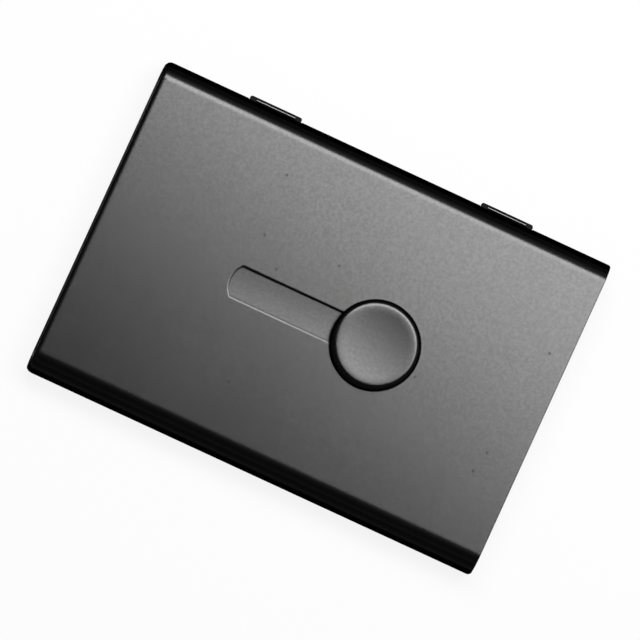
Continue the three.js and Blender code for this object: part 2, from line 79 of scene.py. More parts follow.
MM = 0.001
MICRON = 0.000001
QUARTER_TURN = math.pi / 2
SHARP_ANGLE = math.radians(35)
STEEP_COSINE = math.cos(math.radians(24))
CUT_TOLERANCE = MICRON / 10
BEVEL_WEIGHT = "bevel_weight_edge"
FINE_DETAIL = 3.0
NOISE_RANGE = (0.3, 0.7)
LONG_SIDES = ("hinge_side", "latch_side")
HINGES = ("left", "right")

Mesh = bmesh.types.BMesh
Vertex = bmesh.types.BMVert
Node = bpy.types.Node
Socket = bpy.types.NodeSocket
Sockets = dict[str, Socket]
Inputs = dict[str | int, Any]
Value = float | Socket
Point = tuple[float, float]
Triple = tuple[float, float, float]
SectionPoint = tuple[float, float, float, float]
Colour = tuple[float, float, float, float]


class Body(Enum):
    """The rigid bodies that pieces ride on."""

    BASE = "base"
    COVER = "cover"
    SLIDER = "slider"


class Slot(Enum):
    """The record's material slots."""

    SHELL = "shell_anodised"
    DISC = "disc_anodised"
    SLIDE = "slide_anodised"
    FRAME = "frame_moulding"
    SPRING = "spring_steel"
    FASTENER = "fastener_steel"
    PIN = "pin_steel"
    GLIDE = "glide_nylon"


class Facing(Enum):
    """Which way a shell's flat face looks."""

    UP = 1
    DOWN = -1


def grey(value: float) -> Colour:
    """A neutral colour of one linear value."""
    return (value, value, value, 1.0)


def shades(tone: float, shares: Point) -> tuple[Colour, Colour]:
    """Two greys that are shares of one tone."""
    return (grey(tone * shares[0]), grey(tone * shares[1]))


class NodeGraph:
    """A shader node tree with short calls that place nodes and link them."""

    def __init__(self, tree: bpy.types.NodeTree) -> None:
        """Takes a tree over, and empties it."""
        self.tree = tree
        self.tree.nodes.clear()

    def add(self, kind: str, inputs: Inputs | None = None, **settings: Any) -> Node:
        """Places one node.

        Args:
            kind: The node's type name.
            inputs: Values or sockets for its inputs, by name or by index.
            settings: Values for the node's own properties.

        Returns:
            The new node.
        """
        node = self.tree.nodes.new(kind)
        for name, value in settings.items():
            setattr(node, name, value)
        for key, value in (inputs or {}).items():
            if isinstance(value, Socket):
                self.tree.links.new(value, node.inputs[key])
            else:
                node.inputs[key].default_value = value
        return node

    def calc(self, operation: str, *values: Value) -> Socket:
        """Places a Math node and gives its result."""
        return self.add("ShaderNodeMath", dict(enumerate(values)), operation=operation).outputs[0]

    def average(self, first: Socket, second: Socket, share: float) -> Socket:
        """The mean of two values, in which the first one has the given share."""
        parts = (self.calc("MULTIPLY", first, share), self.calc("MULTIPLY", second, 1 - share))
        return self.calc("ADD", *parts)

    def remap(self, value: Socket, source: tuple[Value, Value], target: Point = (0, 1)) -> Socket:
        """Maps a value from one range to another, and keeps it in that range."""
        limits = dict(zip(("From Min", "From Max", "To Min", "To Max"), (*source, *target)))
        return self.add("ShaderNodeMapRange", {"Value": value, **limits}).outputs[0]

    def blend(self, share: Socket, first: Colour | Socket, second: Colour | Socket) -> Socket:
        """Mixes two colours, and takes the given share of the second one."""
        return self.add("ShaderNodeMix", {0: share, 6: first, 7: second}, data_type="RGBA").outputs[2]

    def place(self) -> Socket:
        """The point on the piece, in metres, which moves with the piece."""
        return self.add("ShaderNodeTexCoord").outputs["Object"]

    def noise(self, size: Value, where: Socket, detail: float = 2.0) -> Socket:
        """Places a Noise Texture whose features have a size in metres."""
        inputs = {"Vector": where, "Scale": self.calc("DIVIDE", 1.0, size), "Detail": detail}
        return self.add("ShaderNodeTexNoise", inputs).outputs[0]

    def bump(self, height: Socket, depth: float) -> Socket:
        """Turns a height into a normal; a height of 1 is as deep as the depth in metres."""
        return self.add("ShaderNodeBump", {"Height": height, "Distance": depth}).outputs[0]

    def looked_at(self) -> Socket:
        """Tells rays that show a surface from the ones that only light the others.

        Returns:
            1 for a ray from the camera, a reflection or a clear piece, and 0 for the rest.
        """
        rays = self.add("ShaderNodeLightPath").outputs
        seen = self.calc("MAXIMUM", rays["Is Camera Ray"], rays["Is Glossy Ray"])
        return self.calc("MAXIMUM", seen, rays["Is Transmission Ray"])


class SurfaceEffect:
    """A shader node group that several finishes share, made once."""

    name = ""
    inputs: dict[str, float] = {}
    outputs: tuple[str, ...] = ()

    def group(self) -> bpy.types.NodeTree:
        """Finds the node group, or makes it on the first call.

        Returns:
            The node group.
        """
        made = bpy.data.node_groups.get(self.name)
        if made:
            return made
        tree = bpy.data.node_groups.new(self.name, "ShaderNodeTree")
        for title, value in self.inputs.items():
            socket = tree.interface.new_socket(title, in_out="INPUT", socket_type="NodeSocketFloat")
            socket.default_value = value
        for title in self.outputs:
            tree.interface.new_socket(title, in_out="OUTPUT", socket_type="NodeSocketFloat")
        graph = NodeGraph(tree)
        given = graph.add("NodeGroupInput").outputs
        results = self.draw(graph, {title: given[title] for title in self.inputs})
        graph.add("NodeGroupOutput", dict(results))
        return tree

    def draw(self, graph: NodeGraph, given: Sockets) -> Sockets:
        """Fills the group's graph from its inputs, and gives its outputs by name."""
        raise NotImplementedError

    def use(self, graph: NodeGraph, **values: float) -> Sockets:
        """Places the group in a material with values for its inputs, and gives its outputs."""
        node = graph.add("ShaderNodeGroup", values, node_tree=self.group())
        return {title: node.outputs[title] for title in self.outputs}


class BlastedGrain(SurfaceEffect):
    """The even grain of a sand-blasted or spark-eroded surface, with a few pits."""

    name = "blasted_grain"
    inputs = {"Grain": 0.16 * MM, "Mottle": 0.55 * MM, "Pit_spacing": 6 * MM, "Pit_size": 0.26 * MM}
    outputs = ("Height", "Tone", "Pits")
    fine_share = 0.45
    pit_edge = (0.7, 1.3)

    def draw(self, graph: NodeGraph, given: Sockets) -> Sockets:
        """Mixes fine and coarse grain, and finds the pits between scattered points.

        Args:
            graph: The group's graph.
            given: Its inputs by name.

        Returns:
            Its outputs by name.
        """
        where = graph.place()
        fine = graph.noise(given["Grain"], where, FINE_DETAIL)
        coarse = graph.noise(given["Mottle"], where)
        scale = graph.calc("DIVIDE", 1.0, given["Pit_spacing"])
        cells = graph.add("ShaderNodeTexVoronoi", {"Vector": where, "Scale": scale})
        reach = graph.calc("DIVIDE", given["Pit_size"], given["Pit_spacing"])
        nearness = graph.calc("DIVIDE", cells.outputs["Distance"], reach)
        height = graph.average(fine, coarse, self.fine_share)
        pits = graph.remap(nearness, self.pit_edge, (1, 0))
        return {"Height": height, "Tone": coarse, "Pits": pits}


class Handling(SurfaceEffect):
    """Faint cloudy patches where a surface has been handled and wiped."""

    name = "handling"
    inputs = {"Patch": 14 * MM}
    outputs = ("Cloud",)
    small_patch = 0.22
    broad_share = 0.65
    cloud_range = (0.35, 0.65)

    def draw(self, graph: NodeGraph, given: Sockets) -> Sockets:
        """Spreads soft noise of two sizes into clouds.

        Args:
            graph: The group's graph.
            given: Its inputs by name.

        Returns:
            Its outputs by name.
        """
        where = graph.place()
        broad = graph.noise(given["Patch"], where, FINE_DETAIL)
        small = graph.noise(graph.calc("MULTIPLY", given["Patch"], self.small_patch), where)
        return {"Cloud": graph.remap(graph.average(broad, small, self.broad_share), self.cloud_range)}


class EdgeWear(SurfaceEffect):
    """The corners of a piece, where its finish wears thin."""

    name = "edge_wear"
    inputs = {"Reach": 0.12 * MM, "Breakup": 0.5 * MM}
    outputs = ("Wear",)
    edge_range = (0.995, 0.9)
    spot_range = (0.4, 0.62)
    spot_strength = (0.15, 1)
    samples = 6

    def draw(self, graph: NodeGraph, given: Sockets) -> Sockets:
        """Compares the surface's normal with a rounded one, and breaks the edge up with noise.

        Args:
            graph: The group's graph.
            given: Its inputs by name.

        Returns:
            Its outputs by name.
        """
        rounded = graph.add("ShaderNodeBevel", {"Radius": given["Reach"]}, samples=self.samples)
        normal = graph.add("ShaderNodeNewGeometry").outputs["Normal"]
        normals = {0: rounded.outputs[0], 1: normal}
        product = graph.add("ShaderNodeVectorMath", normals, operation="DOT_PRODUCT")
        edge = graph.remap(product.outputs["Value"], self.edge_range)
        noise = graph.noise(given["Breakup"], graph.place(), FINE_DETAIL)
        spots = graph.remap(noise, self.spot_range, self.spot_strength)
        return {"Wear": graph.calc("MULTIPLY", edge, spots)}


class TiltShade(SurfaceEffect):
    """How far a face leans away from the flat faces of the case, which lie across Z; the mask of the
    painted shade on steep faces.
    """

    name = "tilt_shade"
    inputs = {"From_lean": 0.08, "To_lean": 0.17}
    outputs = ("Lean",)

    def draw(self, graph: NodeGraph, given: Sockets) -> Sockets:
        """Takes how much the normal misses the Z axis by, between the two limits.

        Args:
            graph: The group's graph.
            given: Its inputs by name.

        Returns:
            Its outputs by name.
        """
        normal = graph.add("ShaderNodeTexCoord").outputs["Normal"]
        upright = graph.calc("ABSOLUTE", graph.add("ShaderNodeSeparateXYZ", {0: normal}).outputs["Z"])
        lean = graph.calc("SUBTRACT", 1.0, upright)
        return {"Lean": graph.remap(lean, (given["From_lean"], given["To_lean"]))}


class RolledLines(SurfaceEffect):
    """The fine lines that rolling or drawing leaves along X."""

    name = "rolled_lines"
    inputs = {"Line": 0.05 * MM, "Stretch": 60.0}
    outputs = ("Height",)

    def draw(self, graph: NodeGraph, given: Sockets) -> Sockets:
        """Squeezes the place along X, so that the noise there is drawn out into lines.

        Args:
            graph: The group's graph.
            given: Its inputs by name.

        Returns:
            Its outputs by name.
        """
        apart = graph.add("ShaderNodeSeparateXYZ", {0: graph.place()}).outputs
        along = graph.calc("DIVIDE", apart["X"], given["Stretch"])
        squeezed = graph.add("ShaderNodeCombineXYZ", {0: along, 1: apart["Y"], 2: apart["Z"]})
        return {"Height": graph.noise(given["Line"], squeezed.outputs[0], FINE_DETAIL)}


@dataclass(frozen=True)
class Finish:
    """A finish that makes one material, named after itself."""

    name: str
    slot: Slot

    def material(self) -> bpy.types.Material:
        """Finds the finish's material, or makes it on the first call.

        Returns:
            The material.
        """
        made = bpy.data.materials.get(self.name)
        if made:
            return made
        material = bpy.data.materials.new(self.name)
        material.use_nodes = True
        graph = NodeGraph(material.node_tree)
        shader = graph.add("ShaderNodeBsdfPrincipled", self.paint(graph))
        graph.add("ShaderNodeOutputMaterial", {"Surface": shader.outputs[0]})
        return material

    def paint(self, graph: NodeGraph) -> Inputs:
        """Draws the finish's nodes, and gives the Principled shader's inputs by name."""
        raise NotImplementedError


@dataclass(frozen=True)
class BlackAnodised(Finish):
    """Aluminium that is sand blasted and then anodised black, with painted shade on its steep faces.
    """

    tone: float = 0.055
    mottling: Point = (0.895, 1.105)
    pit_share: float = 0.8
    pit_tone: float = 0.3
    # Painted shade on steep faces: how much of it there is, and the near-black tone it darkens to.
    painted_shade_share: float = 0.87
    painted_shade_tone: float = 0.003
    wear: float = 0.06
    bare: float = 0.5
    roughness: Point = (0.227, 0.239)
    grain: float = 0.16 * MM
    mottle: float = 0.55 * MM
    depth: float = 1.6 * MICRON
    # Specular Tint; 0 darkens the grazing reflection, which is the painted shade of the steep-face
    # copies.
    edge_tint: float = 1.0

    def paint(self, graph: NodeGraph) -> Inputs:
        """Adds grain, mottling, pits, clouds, wear along the edges, and painted shade that darkens
        the steep faces.

        Args:
            graph: The material's graph.

        Returns:
            The Principled shader's inputs by name.
        """
        grain = BlastedGrain().use(graph, Grain=self.grain, Mottle=self.mottle)
        light_and_dark = graph.remap(grain["Tone"], NOISE_RANGE)
        mottled = graph.blend(light_and_dark, *shades(self.tone, self.mottling))
        pits = graph.calc("MULTIPLY", grain["Pits"], self.pit_share)
        pitted = graph.blend(pits, mottled, grey(self.tone * self.pit_tone))
        # Painted shade: faces that lean away from the case's flat faces are darkened towards a
        # near-black tone.
        lean = graph.calc("MULTIPLY", TiltShade().use(graph)["Lean"], self.painted_shade_share)
        painted_shade_colour = graph.blend(lean, pitted, grey(self.painted_shade_tone))
        wear = graph.calc("MULTIPLY", EdgeWear().use(graph)["Wear"], self.wear)
        return {
            "Base Color": graph.blend(wear, painted_shade_colour, grey(self.bare)),
            "Metallic": 1.0,
            "Roughness": graph.remap(Handling().use(graph)["Cloud"], (0, 1), self.roughness),
            "Specular Tint": grey(self.edge_tint),
            "Normal": graph.bump(grain["Height"], self.depth),
        }


@dataclass(frozen=True)
class BlackMoulding(Finish):
    """Black plastic with the fine texture of a spark-eroded mould."""

    tone: float = 0.008
    mottling: Point = (0.75, 1.25)
    edge_tone: float = 3.0
    wear: float = 0.5
    roughness: Point = (0.62, 0.7)
    edge_gloss: float = 0.12
    specular: float = 0.07
    grain: float = 0.22 * MM
    mottle: float = 1.1 * MM
    pit_spacing: float = 30 * MM
    patch: float = 9 * MM
    edge: float = 0.1 * MM
    depth: float = 5 * MICRON

    def paint(self, graph: NodeGraph) -> Inputs:
        """Adds the mould's texture, and edges that are a little smoother than the faces.

        Args:
            graph: The material's graph.

        Returns:
            The Principled shader's inputs by name.
        """
        texture = {"Grain": self.grain, "Mottle": self.mottle, "Pit_spacing": self.pit_spacing}
        grain = BlastedGrain().use(graph, **texture)
        cloud = Handling().use(graph, Patch=self.patch)["Cloud"]
        wear = EdgeWear().use(graph, Reach=self.edge)["Wear"]
        toned = graph.blend(grain["Tone"], *shades(self.tone, self.mottling))
        rough = graph.remap(cloud, (0, 1), self.roughness)
        worn = graph.calc("MULTIPLY", wear, self.wear)
        return {
            "Base Color": graph.blend(worn, toned, grey(self.tone * self.edge_tone)),
            "Roughness": graph.calc("SUBTRACT", rough, graph.calc("MULTIPLY", wear, self.edge_gloss)),
            "Specular IOR Level": self.specular,
            "Normal": graph.bump(grain["Height"], self.depth),
        }


@dataclass(frozen=True)
class RolledSteel(Finish):
    """Steel strip or wire, with the lines of its rolling or drawing."""

    tone: float = 0.45
    lines: Point = (0.82, 1.08)
    roughness: Point = (0.33, 0.43)
    patch: float = 5 * MM
    depth: float = 1.5 * MICRON

    def paint(self, graph: NodeGraph) -> Inputs:
        """Adds lines along X, and clouds of a slightly different gloss.

        Args:
            graph: The material's graph.

        Returns:
            The Principled shader's inputs by name.
        """
        lines = RolledLines().use(graph)["Height"]
        cloud = Handling().use(graph, Patch=self.patch)["Cloud"]
        light_and_dark = graph.remap(lines, NOISE_RANGE)
        return {
            "Base Color": graph.blend(light_and_dark, *shades(self.tone, self.lines)),
            "Metallic": 1.0,
            "Roughness": graph.remap(cloud, (0, 1), self.roughness),
            "Normal": graph.bump(lines, self.depth),
        }


@dataclass(frozen=True)
class PaleNylon(Finish):
    """Natural nylon, slightly uneven in colour."""

    tone: Colour = (0.68, 0.67, 0.63, 1.0)
    shade: Colour = (0.56, 0.55, 0.5, 1.0)
    roughness: float = 0.45
    patch: float = 3 * MM
    grain: float = 0.1 * MM
    mottle: float = 0.6 * MM
    depth: float = 4 * MICRON

    def paint(self, graph: NodeGraph) -> Inputs:
        """Adds soft clouds of colour and the grain of the turning.

        Args:
            graph: The material's graph.

        Returns:
            The Principled shader's inputs by name.
        """
        cloud = Handling().use(graph, Patch=self.patch)["Cloud"]
        grain = BlastedGrain().use(graph, Grain=self.grain, Mottle=self.mottle)
        return {
            "Base Color": graph.blend(cloud, self.shade, self.tone),
            "Roughness": self.roughness,
            "Normal": graph.bump(grain["Height"], self.depth),
        }


SHELL_FINISH = BlackAnodised("black_anodised_shell", Slot.SHELL)
# Painted shade: the steep-face copies tint the grazing reflection black, so the rounded edges and the
# disc's rim look darker.
SHELL_STEEP_SHADED_COPY = BlackAnodised("black_anodised_shell_steep_shaded", Slot.SHELL, edge_tint=0.0)
DISC_FINISH = BlackAnodised("black_anodised_disc", Slot.DISC)
DISC_STEEP_SHADED_COPY = BlackAnodised("black_anodised_disc_steep_shaded", Slot.DISC, edge_tint=0.0)
SLIDE_FINISH = BlackAnodised("black_anodised_slide", Slot.SLIDE)
FRAME_FINISH = BlackMoulding("black_moulding", Slot.FRAME)
SPRING_FINISH = RolledSteel("spring_steel_strip", Slot.SPRING, tone=0.32, roughness=(0.47, 0.57))
FASTENER_FINISH = RolledSteel("bright_fastener_steel", Slot.FASTENER)
PIN_FINISH = RolledSteel("blackened_pin_steel", Slot.PIN, tone=0.1, roughness=(0.17, 0.27))
GLIDE_FINISH = PaleNylon("pale_nylon", Slot.GLIDE)


def shade_by_angle(bm: Mesh) -> None:
    """Smooths every face, and marks the edges that turn more sharply than a curve does.

    Args:
        bm: The mesh.
    """
    for face in bm.faces:
        face.smooth = True
    for edge in bm.edges:
        edge.smooth = not (edge.is_manifold and edge.calc_face_angle() > SHARP_ANGLE)


def evenly(start: float, end: float, steps: int) -> list[float]:
    """Evenly spaced values, both ends among them."""
    return [start + (end - start) * i / steps for i in range(steps + 1)]


def arc(centre: Point, radius: float, start: float, end: float, steps: int) -> list[Point]:
    """Points along an arc, both of its ends among them."""
    angles = evenly(start, end, steps)
    return [(centre[0] + radius * math.cos(a), centre[1] + radius * math.sin(a)) for a in angles]


def pin_boxes() -> list[tuple[Vector, Vector]]:
    """The boxes of the two hinge pins."""
    return [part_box(f"hinge_pin_{side}") for side in HINGES]


def cut(bm: Mesh, geometry: list[Any], place: Triple, normal: Triple) -> None:
    """Cuts through a mesh's given vertices, edges and faces, and keeps both sides."""
    bmesh.ops.bisect_plane(bm, geom=geometry, dist=CUT_TOLERANCE, plane_co=place, plane_no=normal)


@dataclass
class Piece:
    """One visible piece: a mesh with its finish, riding on a body in place of CAD nodes."""

    name: str
    finish: Finish
    body: Body
    nodes: tuple[str, ...]
    steep_shaded_copy: Finish | None = None

    def publish(self, bm: Mesh, rounding: float = 0.0, segments: int = 4) -> None:
        """Turns a bmesh into the piece.

        Args:
            bm: The mesh, which is freed.
            rounding: The radius that edges of bevel weight 1 are rounded to, or 0 for none.
            segments: How many faces go round a rounded edge.
        """
        bmesh.ops.recalc_face_normals(bm, faces=bm.faces)
        shade_by_angle(bm)
        mesh = bpy.data.meshes.new(self.name)
        bm.to_mesh(mesh)
        bm.free()
        piece = bpy.data.objects.new(self.name, mesh)
        bpy.context.scene.collection.objects.link(piece)
        if rounding:
            bevel = piece.modifiers.new("edge_rounding", "BEVEL")
            bevel.limit_method = "WEIGHT"
            bevel.width = rounding
            bevel.segments = segments
            bevel.use_clamp_overlap = False
        weighted = piece.modifiers.new("flat_faces_stay_flat", "WEIGHTED_NORMAL")
        weighted.keep_sharp = True
        mesh.materials.append(self.finish.material())
        # Painted shade: faces steeper than STEEP_COSINE get the finish's darkened copy.
        if self.steep_shaded_copy:
            mesh.materials.append(self.steep_shaded_copy.material())
            for polygon in mesh.polygons:
                polygon.material_index = int(abs(polygon.normal.z) < STEEP_COSINE)
        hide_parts(*self.nodes)
        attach(piece, self.body.value)
        LOG.info("made %s with %d faces on %s", self.name, len(mesh.polygons), self.body.value)


@dataclass(frozen=True)
class CaseSize:
    """The case's outer form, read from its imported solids."""

    half_length: float
    half_width: float
    middle: float
    radius: float
    rim: float

    @staticmethod
    def read() -> "CaseSize":
        """Reads the two shells' boxes.

        Returns:
            The form that they make up.
        """
        front_low, front_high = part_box("front_shell")
        back_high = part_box("back_shell")[1]
        middle = (front_low.z + back_high.z) / 2
        radius, rim = front_high.z - middle, front_low.z - middle
        return CaseSize(front_high.x, front_high.y, middle, radius, rim)


@dataclass(frozen=True)
class Easing:
    """How an edge is eased: where it starts to curve, and how deep it goes."""

    reach: float
    depth: float

    def place(self, share: float) -> Point:
        """The distance from the edge and the drop, at a share of 0 on the edge to 1 on the flat."""
        angle = QUARTER_TURN * (1 - share)
        return (self.reach * (1 - math.sin(angle)), self.depth * (1 - math.cos(angle)))


@dataclass(frozen=True)
class PunchedEdge:
    """The top edge of a punched hole: a gentle roll down, then a small round."""

    roll: float = 0.42 * MM
    steepest: float = math.radians(20)
    round: float = 0.03 * MM
    roll_steps: int = 7
    round_steps: int = 4

    def places(self) -> list[Point]:
        """The curve from the flat face to the hole, as distances from the hole and drops.

        Returns:
            Its points, the one on the flat face first.
        """
        run = self.roll - self.round
        curve = []
        for share in evenly(0, 1, self.roll_steps):
            drop = run * math.tan(self.steepest) / 2 * share**2
            curve.append((self.roll - run * share, drop))
        reach, drop = curve[-1]
        span = 1 - math.sin(self.steepest)
        for angle in evenly(self.steepest, QUARTER_TURN, self.round_steps)[1:]:
            across = (math.sin(angle) - math.sin(self.steepest)) / span
            fall = (math.cos(self.steepest) - math.cos(angle)) * self.round
            curve.append((reach * (1 - across), drop + fall))
        return curve


@dataclass
class PressedShell:
    """A shell pressed from sheet, with a quarter round along each long side."""

    node: str
    body: Body
    facing: Facing
    case: CaseSize
    sheet: float = 0.7 * MM
    hinge_reach: float = 3.85 * MM
    latch_reach: float = 4.35 * MM
    corner: float = 0.5 * MM
    mouth_edge: Easing = Easing(reach=0.95 * MM, depth=0.55 * MM)
    closed_edge: Easing = Easing(reach=0.14 * MM, depth=0.12 * MM)
    guard: float = 0.3 * MM
    slot_edge: PunchedEdge = PunchedEdge()
    rim_rounding: float = 0.12 * MM
    notch_height: float = 1.5 * MM
    notch_past_pin: float = 0.25 * MM
    column_spacing: float = 3.0 * MM
    slot_margin: float = 5.0 * MM
    slot_length: float = 37.2 * MM
    slot_width: float = 6.1 * MM
    slot_bulge: float = 1.19 * MM
    slot_fillet: float = 0.3 * MM
    easing_steps: int = 8
    low_arc_steps: int = 8
    high_arc_steps: int = 26
    slot_arc_steps: int = 20
    fillet_steps: int = 4

    def build(self) -> None:
        """Makes the shell: its outer skin, then its thickness, then its rounded edges."""
        self.bm = bmesh.new()
        self.weight = self.bm.edges.layers.float.new(BEVEL_WEIGHT)
        self.section = self.section_points()
        self.columns = self.column_places()
        self.backs: dict[Vertex, Vector] = {}
        self.grid = [
            [self.vertex(point, *place) for place in self.row_places(point[0])]
            for point in self.section
        ]
        self.skin_faces()
        self.give_thickness()
        if self.facing is Facing.DOWN:
            mirror = Matrix.Scale(-1, 4, (0, 0, 1))
            bmesh.ops.transform(self.bm, matrix=mirror, verts=self.bm.verts)
        bmesh.ops.translate(self.bm, vec=(0, 0, self.case.middle), verts=self.bm.verts)
        name = f"{self.node}_pressing"
        piece = Piece(name, SHELL_FINISH, self.body, (self.node,), SHELL_STEEP_SHADED_COPY)
        piece.publish(self.bm, self.rim_rounding)

    def section_points(self) -> list[SectionPoint]:
        """The outer skin's section, from the hinge side's rim over to the latch side's.

        Returns:
            Y, the height above the parting plane, and the outward normal's Y and Z, for each point.
        """
        case = self.case
        start = math.asin(case.rim / case.radius)
        notch = math.asin(self.notch_height / case.radius)
        low = evenly(start, notch, self.low_arc_steps)[:-1]
        high = evenly(notch, QUARTER_TURN, self.high_arc_steps)
        hinge_side = self.quarter(self.hinge_reach, low + high)
        latch_side = self.quarter(self.latch_reach, low + high)
        return hinge_side + [(-y, z, -ny, nz) for y, z, ny, nz in reversed(latch_side)]

    def quarter(self, reach: float, angles: list[float]) -> list[SectionPoint]:
        """One long side's rounding, which runs into the flat, with a guard point on the flat itself.

        Args:
            reach: How far in from the side the flat starts.
            angles: Where on the rounding its points lie, from the rim up.

        Returns:
            Y, the height above the parting plane, and the outward normal's Y and Z, for each point.
        """
        case = self.case
        points = []
        for angle in angles:
            across, up = math.cos(angle), math.sin(angle)
            normal = Vector((across / reach, up / case.radius)).normalized()
            y = case.half_width - reach * (1 - across)
            points.append((y, case.radius * up, normal.x, normal.y))
        points.append((case.half_width - reach - self.guard, case.radius, 0.0, 1.0))
        return points

    def notches(self) -> list[Point]:
        """The stretches of X where the windows for the hinges are."""
        past = self.notch_past_pin
        return [(low.x - past, high.x + past) for low, high in pin_boxes()]

    def slot_span(self) -> float:
        """How far along X the part of the top that holds the slot reaches."""
        return self.slot_length / 2 + self.slot_margin

    def column_places(self) -> list[float]:
        """The places along X of the skin's inner columns, the notches' edges among them.

        Returns:
            The places, the one nearest the mouth first.
        """
        inner = self.case.half_length - self.corner - self.mouth_edge.reach - self.rim_rounding
        fixed = {-inner, inner, -self.slot_span(), self.slot_span()}
        fixed.update(edge for notch in self.notches() for edge in notch)
        places = sorted(fixed)
        columns = []
        for start, end in zip(places, places[1:]):
            count = max(1, round((end - start) / self.column_spacing))
            columns += evenly(start, end, count)[:-1]
        return columns + [places[-1]]

    def row_places(self, y: float) -> list[Point]:
        """The columns of one row, whose ends are eased and follow the rounded corners of the plan.

        Args:
            y: The row's place across the case.

        Returns:
            The place along X of each column, and how far it drops below the skin.
        """
        past = max(0.0, abs(y) - (self.case.half_width - self.corner))
        end = self.case.half_length - self.corner + math.sqrt(max(0.0, self.corner**2 - past**2))
        shares = evenly(0, 1, self.easing_steps)
        mouth = [(reach - end, drop) for reach, drop in map(self.mouth_edge.place, shares)]
        level = [(x, 0.0) for x in self.columns]
        closed = [(end - reach, drop) for reach, drop in map(self.closed_edge.place, shares[::-1])]
        return mouth + level + closed

    def vertex(self, point: SectionPoint, x: float, drop: float) -> Vertex:
        """A vertex of the outer skin, with a note of its place on the inner skin.

        Args:
            point: Its point of the section.
            x: Its place along the case.
            drop: How far it lies below the section.

        Returns:
            The vertex.
        """
        y, z, normal_y, normal_z = point
        vertex = self.bm.verts.new((x, y - normal_y * drop, z - normal_z * drop))
        self.backs[vertex] = Vector((x, y - normal_y * self.sheet, z - normal_z * self.sheet))
        return vertex

    def in_notch(self, row: int, x: float) -> bool:
        """Whether a row's face at this place along X lies in a window for a hinge."""
        in_window = any(low < x < high for low, high in self.notches())
        return in_window and row < self.low_arc_steps

    def flat_row(self) -> int:
        """The row of faces that is the shell's flat top."""
        return len(self.section) // 2 - 1

    def skin_faces(self) -> None:
        """Fills the outer skin, apart from the windows for the hinges and the slot."""
        for row in range(len(self.grid) - 1):
            for column in range(len(self.grid[row]) - 1):
                here, there = (line[column:column + 2] for line in self.grid[row:row + 2])
                middle = (here[0].co.x + here[1].co.x) / 2
                on_flat = row == self.flat_row() and self.facing is Facing.UP
                holds_slot = on_flat and abs(middle) < self.slot_span()
                if not holds_slot and not self.in_notch(row, middle):
                    self.bm.faces.new(here + there[::-1])
        if self.facing is Facing.UP:
            self.fill_round_slot()

    def fill_round_slot(self) -> None:
        """Fills the flat top between its border and the slot."""
        limit = self.slot_span() + MICRON
        top = self.flat_row()
        sides = [[v for v in row if abs(v.co.x) < limit] for row in self.grid[top:top + 2]]
        border = sides[0] + sides[1][::-1]
        stem_low, stem_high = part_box("slide_stem")
        axis = (stem_low.y + stem_high.y) / 2
        rings = []
        flat = (self.slot_edge.roll + self.guard, 0.0)
        for reach, drop in [flat, *self.slot_edge.places()]:
            outline = self.widened(self.slot_outline(), reach)
            skin = [(axis + y, self.case.radius, 0, 1) for x, y in outline]
            rings.append([self.vertex(point, x, drop) for point, (x, y) in zip(skin, outline)])
        for outer, inner in zip(rings, rings[1:]):
            for i in range(len(outer)):
                self.bm.faces.new((outer[i - 1], outer[i], inner[i], inner[i - 1]))
        edges = []
        for loop in (border, rings[0]):
            for ends in zip(loop, loop[1:] + loop[:1]):
                edges.append(self.bm.edges.get(ends) or self.bm.edges.new(ends))
        bmesh.ops.triangle_fill(self.bm, use_beauty=True, edges=edges, normal=(0, 0, 1))

    def widened(self, outline: list[Point], reach: float) -> list[Point]:
        """Moves an outline outwards.

        Args:
            outline: Its points, anticlockwise.
            reach: How far it moves.

        Returns:
            The new points, in the same order.
        """
        wide = []
        for i, (x, y) in enumerate(outline):
            before, after = outline[i - 1], outline[(i + 1) % len(outline)]
            along = Vector((after[0] - before[0], after[1] - before[1])).normalized()
            wide.append((x + along.y * reach, y - along.x * reach))
        return wide

    def slot_outline(self) -> list[Point]:
        """The slot's outline about its own centre: straight sides, bowed ends and small fillets.

        Returns:
            Its points, anticlockwise.
        """
        half = self.slot_width / 2
        radius = (half**2 + self.slot_bulge**2) / (2 * self.slot_bulge)
        spread = math.asin(half / radius)
        centre = self.slot_length / 2 - radius
        trim = self.slot_fillet / radius
        corner = (centre + radius * math.cos(spread), half)
        side_end = (corner[0] - self.slot_fillet, half)
        arc_end = (centre + radius * math.cos(spread - trim), radius * math.sin(spread - trim))
        fillet = []
        for t in evenly(0, 1, self.fillet_steps):
            fillet.append(tuple(
                (1 - t) ** 2 * a + 2 * t * (1 - t) * b + t**2 * c
                for a, b, c in zip(arc_end, corner, side_end)
            ))
        bow = arc((centre, 0), radius, trim - spread, spread - trim, self.slot_arc_steps)[1:-1]
        end = [(x, -y) for x, y in reversed(fillet)] + bow + fillet
        return end + [(-x, -y) for x, y in end]

    def give_thickness(self) -> None:
        """Adds the inner skin and the sheet's edges, and weighs the edges of the rims."""
        outer_faces = list(self.bm.faces)
        inner = {vertex: self.bm.verts.new(place) for vertex, place in self.backs.items()}
        open_edges = [edge for edge in self.bm.edges if len(edge.link_faces) == 1]
        for face in outer_faces:
            self.bm.faces.new([inner[v] for v in reversed(face.verts)])
        for edge in open_edges:
            first, second = edge.verts
            self.bm.faces.new((first, second, inner[second], inner[first]))
            share = self.rim_share(edge)
            edge[self.weight] = share
            self.bm.edges.get((inner[first], inner[second]))[self.weight] = share
        loose = [v for v in self.bm.verts if not v.link_faces]
        bmesh.ops.delete(self.bm, geom=loose, context="VERTS")

    def rim_share(self, edge: bmesh.types.BMEdge) -> float:
        """How much of the rims' rounding an open edge has: none at the ends and round the slot.

        Args:
            edge: The edge.

        Returns:
            A share of 0 to 1.
        """
        first, second = edge.verts
        on_flat_top = min(first.co.z, second.co.z) > self.case.radius - self.sheet
        across_end = abs(first.co.x - second.co.x) < MICRON and abs(first.co.x) > max(self.columns)
        if on_flat_top or across_end:
            return 0.0
        thickness = min((vertex.co - self.backs[vertex]).length for vertex in edge.verts)
        return min(1.0, thickness / self.sheet) ** 2


